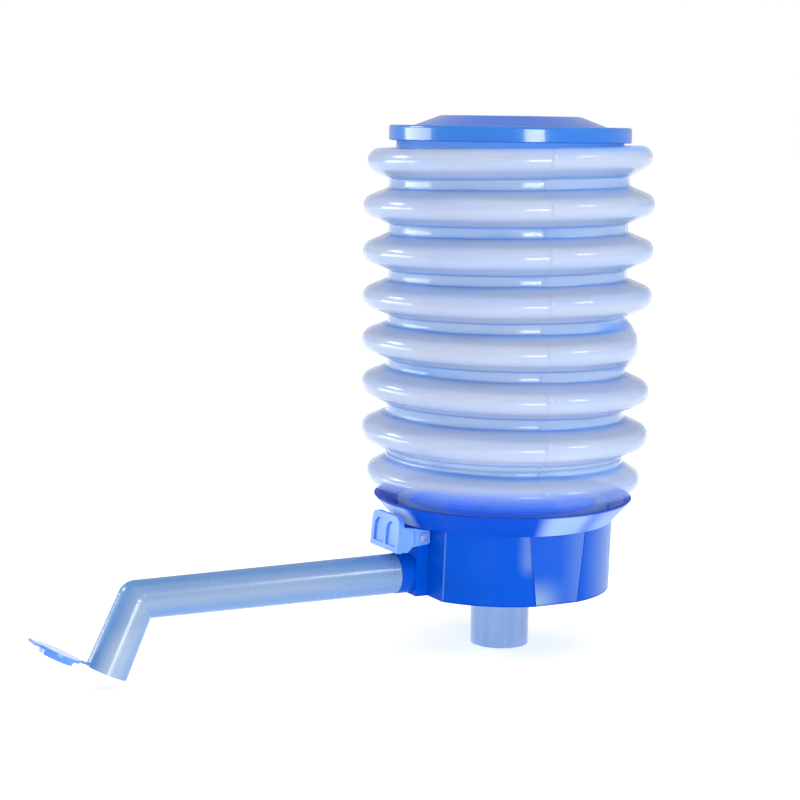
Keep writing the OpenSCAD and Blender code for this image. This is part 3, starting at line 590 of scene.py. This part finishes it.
class BellowsShape:
    """The bellows' profile and the way that use has bent it."""

    NOSE_STEPS = 14
    FILLET_STEPS = 4
    SEGMENTS = 180
    SEAM_COLUMNS = 2
    DENT_FALL = 1.5
    DENT_SHOULDER = 2.6
    DENT_CROWN = 0.7

    def __init__(self, settings):
        self.s = settings
        low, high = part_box("bellows")
        self.foot_z = low.z
        self.neck_z = high.z
        self.tip = high.x
        self.count = len(settings.lean)
        self.valley = self.tip - settings.ridge_depth
        self.neck = self.valley - settings.neck_step
        self.leans_to = bpy.context.scene.jug_pump_stage.azimuth
        self.split_z = settings.low_ridge_z + settings.ridge_pitch / 2

    def ridge_z(self, i):
        return self.s.low_ridge_z + i * self.s.ridge_pitch

    def tip_radius(self, i):
        cuts = {0: self.s.low_ridge_cut, self.count - 1: self.s.high_ridge_cut}
        return self.tip - cuts.get(i, 0)

    def slope(self, i):
        """Slope of a ridge's flanks, which touch its tip and the fillets beside it."""
        rise = (self.s.ridge_pitch - self.s.valley_flat) / 2
        reach = self.tip_radius(i) - self.s.nose_radius - self.valley - self.s.valley_fillet
        radii = self.s.nose_radius + self.s.valley_fillet
        return math.acos(radii / math.hypot(rise, reach)) - math.atan2(reach, rise)

    def ridge(self, i, inset):
        """Points up one ridge, on the surface that lies inset inside the outer one."""
        s = self.s
        z = self.ridge_z(i)
        slope = self.slope(i)
        corner_r = self.valley + s.valley_fillet
        corner_z = (s.ridge_pitch - s.valley_flat) / 2
        fillet = s.valley_fillet + inset
        nose_r = self.tip_radius(i) - s.nose_radius
        top = i == self.count - 1
        nose_end = QUARTER if top else QUARTER - slope
        points = []
        if i:
            points += arc(corner_r, z - corner_z, fillet, math.pi, QUARTER + slope, self.FILLET_STEPS)
        points += arc(nose_r, z, s.nose_radius - inset, slope - QUARTER, nose_end, self.NOSE_STEPS)
        if not top:
            points += arc(corner_r, z + corner_z, fillet, 3 * QUARTER - slope, math.pi, self.FILLET_STEPS)
        return points

    def profile(self, inset):
        """Points up the whole wall, from the foot to the upper neck."""
        s = self.s
        slope = self.slope(0)
        foot = s.foot_radius - inset
        flank = (s.nose_radius - inset) / math.cos(slope)
        flank += (self.tip_radius(0) - s.nose_radius - foot) * math.tan(slope)
        shoulder = self.ridge_z(self.count - 1) + s.nose_radius - inset
        points = [(foot, self.foot_z), (foot, self.ridge_z(0) - flank)]
        for i in range(self.count):
            points += self.ridge(i, inset)
            if i == 0:
                points.append((self.valley - inset, self.split_z))
        return points + [(self.neck - inset, shoulder), (self.neck - inset, self.neck_z)]

    def lean_at(self, z):
        """Lean at a height: each ridge's own, and none at the foot, the neck and the split."""
        leans = [0, *self.s.lean, 0]
        at = (z - self.ridge_z(0)) / self.s.ridge_pitch + 1
        at = min(max(at, 0), len(leans) - 1.001)
        i = int(at)
        t = at - i
        t = t * t * (3 - 2 * t)
        level = min(1, abs(z - self.split_z) / (self.s.valley_flat / 2))
        return (leans[i] * (1 - t) + leans[i + 1] * t) * level

    def bent(self, radius, z, turn, inset):
        """Where a point of the profile really lies, once it is turned, dented and leaning."""
        s = self.s
        off = (turn - s.dent_angle + math.pi) % FULL - math.pi
        if abs(off) < s.dent_width:
            pushed = math.cos(off / s.dent_width * QUARTER) ** self.DENT_FALL
            up = (z - self.ridge_z(s.dent_ridge)) / (s.ridge_pitch / 2)
            if abs(up) < 1:
                left = (1 - abs(up) ** self.DENT_SHOULDER) ** self.DENT_CROWN
                bulge = (s.ridge_depth - s.dent_depth) * left
                radius += pushed * (self.valley + bulge - inset - radius)
        if inset == 0:
            off = (turn - s.seam_angle + QUARTER) % math.pi - QUARTER
            across = off * radius / (s.seam_width / 2)
            radius += s.seam_height * max(0, 1 - across * across)
        dip = radius * math.cos(turn - self.leans_to) * math.tan(self.lean_at(z))
        return (radius * math.cos(turn), radius * math.sin(turn), z - dip)

    def turns(self):
        """Angles of the mesh's columns: even ones, and a few across each seam."""
        even = [FULL * i / self.SEGMENTS for i in range(self.SEGMENTS)]
        half = self.s.seam_width / 2 / self.tip
        steps = range(-self.SEAM_COLUMNS, self.SEAM_COLUMNS + 1)
        seams = [self.s.seam_angle + side for side in (0, math.pi)]
        close = [(seam + half * k / self.SEAM_COLUMNS) % FULL for seam in seams for k in steps]
        apart = [t for t in even if all(abs((t - c + 1) % FULL - 1) > half / 2 for c in close)]
        return sorted(apart + close)

    def mesh(self, name, low_z, high_z):
        """The wall between two heights."""
        made = bmesh.new()
        turns = self.turns()
        paired = zip(self.profile(0), self.profile(self.s.wall))
        outer, inner = zip(*((out, into) for out, into in paired if low_z <= out[1] <= high_z))
        loop = [(r, z, 0) for r, z in outer] + [(r, z, self.s.wall) for r, z in reversed(inner)]
        rings = [[made.verts.new(self.bent(r, z, turn, inset)) for turn in turns] for r, z, inset in loop]
        join_rings(made, rings, closed=True)
        return to_data(made, name)


class JUGPUMP_OT_bellows(bpy.types.Operator):
    """Build the bellows with its seam, its dent and its lean"""

    bl_idname = "jugpump.bellows"
    bl_label = "Bellows"

    def execute(self, context):
        settings = context.scene.jug_pump_bellows
        shape = BellowsShape(settings)
        film = bellows_film(settings)
        foot = place("bellows_foot", shape.mesh("bellows_foot", shape.foot_z, shape.split_z))
        wear(foot, film, "base", "bellows_film", "bellows")
        shell = place("bellows_shell", shape.mesh("bellows_shell", shape.split_z, shape.neck_z))
        wear(shell, film, "base", "bellows_film", "bellows")
        shoulder_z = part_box("neck_ring")[0].z
        keep = 1 - range_of("press_stroke") / (shoulder_z - shape.split_z)
        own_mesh(shell)
        return {"FINISHED"}


# ---- The other pieces ----


def tube_mesh(name, path, radius, sides=10):
    """A closed round tube that follows a path."""
    made = bmesh.new()
    rings = []
    turns = [FULL * i / sides for i in range(sides)]
    for k, point in enumerate(path):
        before, after = path[max(k - 1, 0)], path[min(k + 1, len(path) - 1)]
        along = (after - before).normalized()
        across = along.cross(Vector((1, 0, 0))).normalized()
        beside = along.cross(across)
        rim = [point + radius * (math.cos(t) * across + math.sin(t) * beside) for t in turns]
        rings.append([made.verts.new(corner) for corner in rim])
    join_rings(made, rings)
    return to_data(made, name)


def build_spring(material, turns=4, wire=0.4 * MM, steps=24):
    """The release spring: a round wire with its end turns laid close, as on a real spring."""
    low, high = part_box("release_spring")
    middle = (low + high) / 2
    coil = (high.z - low.z) / 2 - wire / 2
    start, end = low.x + wire / 2, high.x - wire / 2
    closeness = 0.035
    path = []
    for k in range(turns * steps + 1):
        t = k / (turns * steps)
        turn = FULL * k / steps
        along = t - closeness * math.sin(2 * FULL * t)
        x = start + (end - start) * along
        path.append(Vector((x, middle.y + coil * math.cos(turn), middle.z + coil * math.sin(turn))))
    spring = place("release_coil", tube_mesh("release_coil", path, wire / 2))
    wear(spring, material, "base", "spring_steel", "release_spring")
    keep = 1 - range_of("stem_push") / (high.x - low.x)
    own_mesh(spring)


def build_strap(settings, material):
    """The living hinge: a thin strip, thinnest at its fold."""
    tilt = settings.end_angle
    outward = Vector((-math.cos(tilt), 0, math.sin(tilt)))
    down = Vector((-math.sin(tilt), 0, -math.cos(tilt)))
    low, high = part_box("flap_strap")
    middle = (low + high) / 2
    start = middle - outward * settings.length / 2
    made = bmesh.new()
    rows = 24
    narrowing, thinning, fold_spread = 0.1, 0.45, 0.14
    rings = []
    for k in range(rows + 1):
        t = k / rows
        waist = 1 - narrowing * math.sin(math.pi * t)
        thin = 1 - thinning * math.exp(-(((t - 0.5) / fold_spread) ** 2))
        at = start + outward * settings.length * t
        half = settings.width / 2 * waist
        thick = settings.thickness / 2 * thin
        corners = ((-half, -thick), (half, -thick), (half, thick), (-half, thick))
        rings.append([made.verts.new(at + Vector((0, y, 0)) + down * z) for y, z in corners])
    join_rings(made, rings)
    band = place("strap_band", to_data(made, "strap_band"))
    band.data.materials.append(material)
    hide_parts("flap_strap")
    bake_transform(band)


class JUGPUMP_OT_cap(bpy.types.Operator):
    """Finish the push cap and the ring that clamps the bellows in it"""

    bl_idname = "jugpump.cap"
    bl_label = "Push Cap"

    def execute(self, context):
        paint(cap_plastic(context.scene.jug_pump_plastics), "push_cap")
        paint(plain_plastic("natural_plastic", (0.42, 0.56, 0.8), 0.4), "neck_ring", "foot_ring")
        return {"FINISHED"}


class JUGPUMP_OT_base(bpy.types.Operator):
    """Finish the cup and the skirt"""

    bl_idname = "jugpump.base"
    bl_label = "Base"

    def execute(self, context):
        shades = context.scene.jug_pump_plastics
        paint(cup_plastic(shades), "cup")
        paint(skirt_plastic(shades), "base_skirt")
        return {"FINISHED"}


class JUGPUMP_OT_valves(bpy.types.Operator):
    """Finish the valve plate, its gasket and the two rubber valves"""

    bl_idname = "jugpump.valves"
    bl_label = "Valves"

    def execute(self, context):
        shades = context.scene.jug_pump_plastics
        # Painted glow: the valve plate gives off light in its own colour, standing in for the light that
        # reaches it inside the bellows.
        glow = {"emission_color": (*shades.plate, 1), "emission_strength": 0.7}
        plate = plain_plastic("plate_plastic", shades.plate, 0.35, specular_ior_level=0.15, **glow)
        paint(plate, "valve_plate")
        paint(rubber("valve_rubber", (0.55, 0.6, 0.66), 0.35), "intake_valve", "delivery_valve")
        seals = ("plate_gasket", "inlet_seal", "spout_seal", "release_seal")
        paint(rubber("seal_rubber", (0.02, 0.02, 0.024)), *seals)
        return {"FINISHED"}


class JUGPUMP_OT_inlet(bpy.types.Operator):
    """Finish the inlet tube and the soft sleeve round the jug's neck"""

    bl_idname = "jugpump.inlet"
    bl_label = "Inlet"

    def execute(self, context):
        shades = context.scene.jug_pump_plastics
        tube = plain_plastic("tube_plastic", shades.tube, 0.26, (2.4, 2.4, 0.12), coat_weight=0.3)
        paint(tube, "inlet_tube")
        paint(rubber("sleeve_rubber", (0.45, 0.55, 0.72), 0.45), "neck_sleeve")
        return {"FINISHED"}


class JUGPUMP_OT_spout(bpy.types.Operator):
    """Finish the spout and its flap, and build the thin strap between them"""

    bl_idname = "jugpump.spout"
    bl_label = "Spout"

    def execute(self, context):
        shades = context.scene.jug_pump_plastics
        flap = plain_plastic("flap_plastic", shades.flap, 0.26, coat_weight=0.4)
        paint(spout_plastic(shades), "spout")
        paint(flap, "spout_flap")
        build_strap(context.scene.jug_pump_strap, flap)
        return {"FINISHED"}


class JUGPUMP_OT_lever(bpy.types.Operator):
    """Finish the release lever, its pin, stem and spring"""

    bl_idname = "jugpump.lever"
    bl_label = "Release Lever"

    def execute(self, context):
        shades = context.scene.jug_pump_plastics
        paint(plain_plastic("lever_plastic", shades.lever, 0.3, coat_weight=0.35), "release_lever")
        paint(metal("pin_metal", (0.75, 0.77, 0.8)), "lever_pin")
        paint(plain_plastic("stem_plastic", (0.66, 0.7, 0.76), 0.35), "release_stem")
        build_spring(metal("spring_steel", (0.6, 0.62, 0.65)))
        return {"FINISHED"}


# ---- Stage ----


def floor_material(shade, glow):
    """White paper, lit a little from below so that its far side stays as white as the backdrop."""
    light = {"emission_color": (*WHITE, 1), "emission_strength": glow}
    finish = Finish("floor_paint", specular_ior_level=0.1, roughness=0.9, **light)
    darker = tuple(c * 0.99 for c in shade)
    finish.feed("Base Color", finish.mix(finish.noise(scale=3, detail=2), shade, darker))
    return finish.material


def build_floor(settings):
    """A wide round floor under the pump."""
    made = bmesh.new()
    at = Matrix.Translation((0, 0, CAD_BOX[0][2]))
    bmesh.ops.create_circle(made, cap_ends=True, radius=9, segments=96, matrix=at)
    floor = place("floor", to_data(made, "floor"))
    floor.data.materials.append(floor_material(settings.floor_colour, settings.floor_glow))


def build_camera(settings):
    """Stands where the photograph was taken from."""
    across = Vector((math.cos(settings.azimuth), math.sin(settings.azimuth), 0))
    away = Vector((math.sin(settings.azimuth), -math.cos(settings.azimuth), 0))
    height = Vector((0, 0, 1))
    back = away * math.cos(settings.pitch) + height * math.sin(settings.pitch)
    up = height * math.cos(settings.pitch) - away * math.sin(settings.pitch)
    right = across * math.cos(settings.roll) + up * math.sin(settings.roll)
    up = back.cross(right)
    camera = bpy.data.cameras.new("camera")
    camera.lens = settings.lens
    camera.sensor_width = 36
    camera.clip_start = 0.01
    standing = place("camera", camera)
    turn = Matrix((right, up, back)).transposed().to_4x4()
    at = away * settings.distance - across * settings.offset + height * settings.height
    standing.matrix_world = Matrix.Translation(at) @ turn
    bpy.context.scene.camera = standing


# Each softbox: its angle right of the camera in degrees, its distance and height in metres, its width and
# height in metres, and its power in watts.
SOFTBOXES = {
    "key_right": (22.5, 1.5, 0.12, (0.48, 0.3), 9.5),
    "side_left": (-97, 1.5, 0.12, (1.0, 0.3), 10),
    "high_left": (-106, 1.5, 0.85, (0.45, 0.28), 7),
    "side_right": (66, 1.5, 0.9, (0.45, 0.3), 8),
    "top": (0, 0.4, 1.9, (1.6, 1.6), 8),
}


def softbox(name, turn, distance, height, size, power):
    """A rectangular soft light that stands at an angle round the pump and faces its middle."""
    light = bpy.data.lights.new(name, "AREA")
    light.shape = "RECTANGLE"
    light.size, light.size_y = size
    light.energy = power
    lamp = place(name, light)
    lamp.location = (distance * math.cos(turn), distance * math.sin(turn), height)
    look = Vector((0, 0, 90 * MM)) - lamp.location
    lamp.rotation_euler = look.to_track_quat("-Z", "Y").to_euler()


def build_lights(settings):
    """Soft fill from all sides, and the softboxes whose reflections run down the ridges."""
    left_shift = math.radians(3)
    front = settings.azimuth - QUARTER - left_shift
    for name, (turn, *rest) in SOFTBOXES.items():
        softbox(name, front + math.radians(turn), *rest)
    world = bpy.data.worlds.new("studio")
    bpy.context.scene.world = world
    world.use_nodes = True
    tree = world.node_tree
    seen = tree.nodes.new("ShaderNodeLightPath").outputs["Is Camera Ray"]
    strength = tree.nodes.new("ShaderNodeMapRange")
    tree.links.new(seen, strength.inputs["Value"])
    strength.inputs["To Min"].default_value = settings.fill
    strength.inputs["To Max"].default_value = 1.0
    background = tree.nodes["Background"]
    background.inputs["Color"].default_value = (*WHITE, 1)
    tree.links.new(strength.outputs[0], background.inputs["Strength"])


class JUGPUMP_OT_stage(bpy.types.Operator):
    """Set up the floor, the soft light and the camera"""

    bl_idname = "jugpump.stage"
    bl_label = "Stage"

    def execute(self, context):
        settings = context.scene.jug_pump_stage
        context.scene.view_settings.view_transform = "Standard"
        build_camera(settings)
        build_floor(settings)
        build_lights(settings)
        return {"FINISHED"}


# ---- Add-on ----


class JUGPUMP_PT_sidebar(bpy.types.Panel):
    bl_label = "Jug Pump"
    bl_idname = "JUGPUMP_PT_sidebar"
    bl_space_type = "VIEW_3D"
    bl_region_type = "UI"
    bl_category = "Jug Pump"

    def draw(self, context):
        for operator in OPERATORS:
            self.layout.operator(operator.bl_idname)
        for name in SETTINGS:
            box = self.layout.box()
            group = getattr(context.scene, name)
            for key in group.__annotations__:
                box.prop(group, key)


OPERATORS = (
    JUGPUMP_OT_stage,
    JUGPUMP_OT_bellows,
    JUGPUMP_OT_cap,
    JUGPUMP_OT_base,
    JUGPUMP_OT_valves,
    JUGPUMP_OT_inlet,
    JUGPUMP_OT_spout,
    JUGPUMP_OT_lever,
)
SETTINGS = {
    "jug_pump_stage": JugPumpStageSettings,
    "jug_pump_bellows": JugPumpBellowsSettings,
    "jug_pump_strap": JugPumpStrapSettings,
    "jug_pump_plastics": JugPumpPlasticSettings,
}


def register():
    for cls in (*SETTINGS.values(), *OPERATORS, JUGPUMP_PT_sidebar):
        bpy.utils.register_class(cls)
    for name, cls in SETTINGS.items():
        setattr(bpy.types.Scene, name, bpy.props.PointerProperty(type=cls))


def unregister():
    for name in SETTINGS:
        delattr(bpy.types.Scene, name)
    for cls in reversed((*SETTINGS.values(), *OPERATORS, JUGPUMP_PT_sidebar)):
        bpy.utils.unregister_class(cls)


def main():
    register()
    for operator in OPERATORS:
        group, name = operator.bl_idname.split(".")
        getattr(getattr(bpy.ops, group), name)()


if __name__ == "__main__":
    main()
